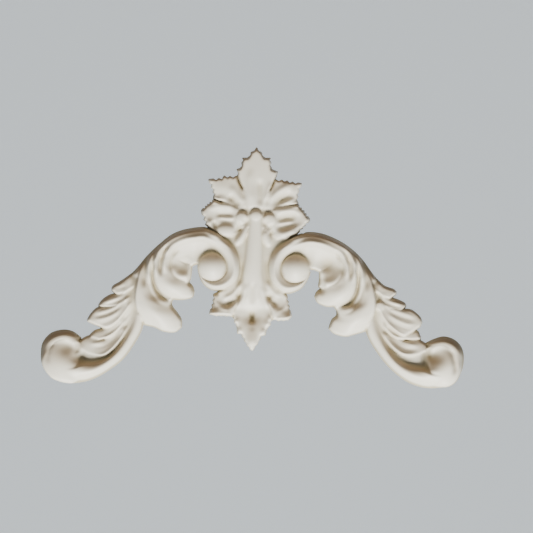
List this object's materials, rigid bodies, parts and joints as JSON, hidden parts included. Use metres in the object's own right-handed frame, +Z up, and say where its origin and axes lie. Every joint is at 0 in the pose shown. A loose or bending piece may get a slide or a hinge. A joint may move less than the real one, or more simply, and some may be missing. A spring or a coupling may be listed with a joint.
{
  "type": "moulding corner",
  "caption": "Carved corner moulding of scrolling acanthus arms, volutes and a palmette on one flat back, fixed to a panel or wall.",
  "frame": {"origin": "point on the flat back behind the stem, midway between the two volutes", "axes": "+X to the right along the longest side, +Z up towards the palmette, +Y out of the flat back, so the carved front faces -Y"},
  "size_m": [0.2618, 0.0164, 0.1475],
  "materials": {
    "ivory_resin": "smooth satin, cast in one piece"
  },
  "bodies": {
    "root": {"moulding_corner": "ivory_resin"}
  },
  "joints": []
}
